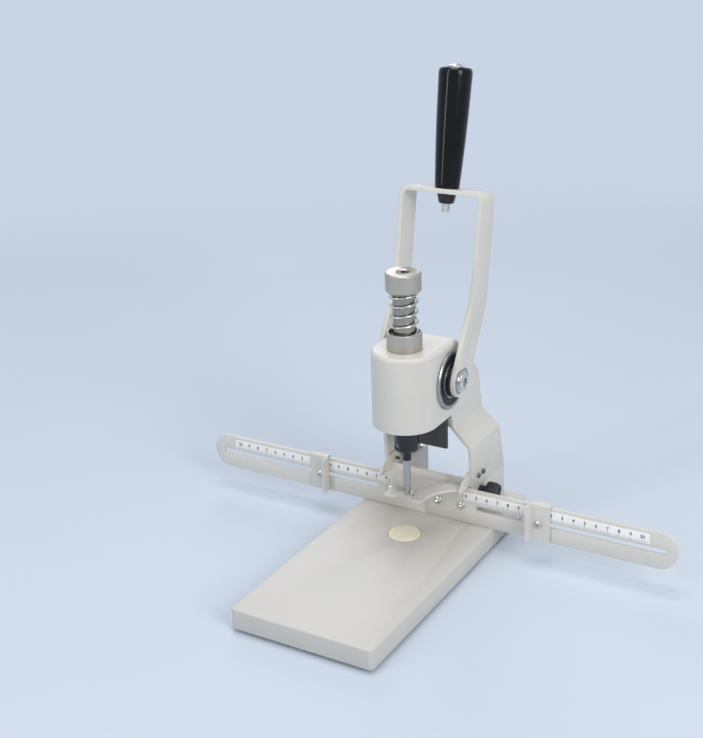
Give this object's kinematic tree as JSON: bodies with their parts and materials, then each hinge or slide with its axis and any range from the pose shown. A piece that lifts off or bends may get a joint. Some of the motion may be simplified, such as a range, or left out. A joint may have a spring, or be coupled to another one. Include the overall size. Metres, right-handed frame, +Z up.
{
  "type": "paper drill",
  "caption": "Hand-lever paper drill: a rack-and-pinion quill with a hollow drill over a long board, with a ruler fence, sliding stops and a depth clamp.",
  "frame": {"origin": "on the ground under the middle of the outline, 2.33 mm behind the middle of the base board", "axes": "+X to the right along the ruler arms, -Y towards the user, +Z up along the drill"},
  "size_m": [0.46, 0.2906, 0.4108],
  "materials": {
    "grey_paint": "satin stoved paint",
    "dark_paint": "satin black paint",
    "steel": "turned",
    "bright_steel": "bright plated",
    "black_oxide": "blackened",
    "black_plastic": "glossy moulded",
    "knob_plastic": "moulded",
    "pad_plastic": "milky plastic",
    "scale_plastic": "printed strip",
    "rubber": "moulded"
  },
  "bodies": {
    "frame": {"base_board": "grey_paint", "rubber_feet": "rubber", "foot_screws": "steel", "head_frame": "grey_paint", "side_rail_left": "grey_paint", "side_rail_right": "grey_paint", "rail_bolts": "black_oxide", "leg_screws": "steel", "rear_guard": "dark_paint", "guide_tray": "grey_paint", "tray_screws": "black_oxide", "bearing_outer_rings": "steel", "bearing_seals": "rubber", "bearing_balls": "bright_steel", "spring_cup": "steel", "lower_bush": "steel"},
    "lever": {"lever_yoke": "grey_paint", "shaft_spacers": "dark_paint", "pivot_shaft": "steel", "pinion": "steel", "pinion_key": "steel", "bearing_inner_rings": "steel", "arm_washers": "bright_steel", "arm_screws": "bright_steel", "handle_stud": "steel", "handle_grip": "black_plastic", "grip_cap_screw": "bright_steel", "handle_nut": "black_oxide"},
    "quill": {"rack_column": "steel", "top_cap": "steel", "cap_screw": "black_oxide", "chuck": "black_oxide", "chuck_set_screw": "steel", "bit_collar": "black_oxide", "drill_bit": "bright_steel", "return_spring": "steel"},
    "pad": {"cutting_pad": "pad_plastic"},
    "fence": {"fence_carriage": "grey_paint", "ruler_arm_left": "grey_paint", "ruler_arm_right": "grey_paint", "scale_left": "scale_plastic", "scale_right": "scale_plastic", "ruler_screws": "bright_steel"},
    "left_stop": {"stop_left": "grey_paint", "stop_screw_left": "bright_steel"},
    "left_wing_nut": {"wing_nut_left": "bright_steel"},
    "right_stop": {"stop_right": "grey_paint", "stop_screw_right": "bright_steel"},
    "right_wing_nut": {"wing_nut_right": "bright_steel"},
    "clamp": {"clamp_knob": "knob_plastic", "clamp_stud": "steel"}
  },
  "joints": [
    {"name": "lever_swing", "type": "hinge", "parent": "frame", "child": "lever", "pos_m": [0, 0.06097, 0.1585], "axis": [1, 0, 0], "range_deg": [0, 97.4]},
    {"name": "quill_feed", "type": "slide", "parent": "frame", "child": "quill", "axis": [0, 0, -1], "range_m": [0, 0.034], "stiffness_N_per_m": 2400, "springref_m": -0.01, "deforming": ["return_spring"]},
    {"name": "pad_turn", "type": "hinge", "parent": "frame", "child": "pad", "pos_m": [0, 0.02667, 0.02], "axis": [0, 0, 1], "continuous": true},
    {"name": "fence_depth", "type": "slide", "parent": "frame", "child": "fence", "axis": [0, -1, 0], "range_m": [0, 0.025]},
    {"name": "stop_left_slide", "type": "slide", "parent": "fence", "child": "left_stop", "axis": [-1, 0, 0], "range_m": [-0.035, 0.095]},
    {"name": "stop_right_slide", "type": "slide", "parent": "fence", "child": "right_stop", "axis": [1, 0, 0], "range_m": [-0.035, 0.095]},
    {"name": "wing_nut_left_turn", "type": "hinge", "parent": "left_stop", "child": "left_wing_nut", "pos_m": [-0.109, 0.07427, 0.0376], "axis": [0, 1, 0], "range_deg": [-180, 90]},
    {"name": "wing_nut_right_turn", "type": "hinge", "parent": "right_stop", "child": "right_wing_nut", "pos_m": [0.109, 0.07427, 0.0376], "axis": [0, 1, 0], "range_deg": [-180, 90]},
    {"name": "knob_turn", "type": "hinge", "parent": "frame", "child": "clamp", "pos_m": [0.05, 0.08797, 0.045], "axis": [1, 0, 0], "range_deg": [-360, 120]}
  ],
  "couplings": [
    {"joint": "quill_feed", "follows": "lever_swing", "m_per_rad": 0.02}
  ]
}
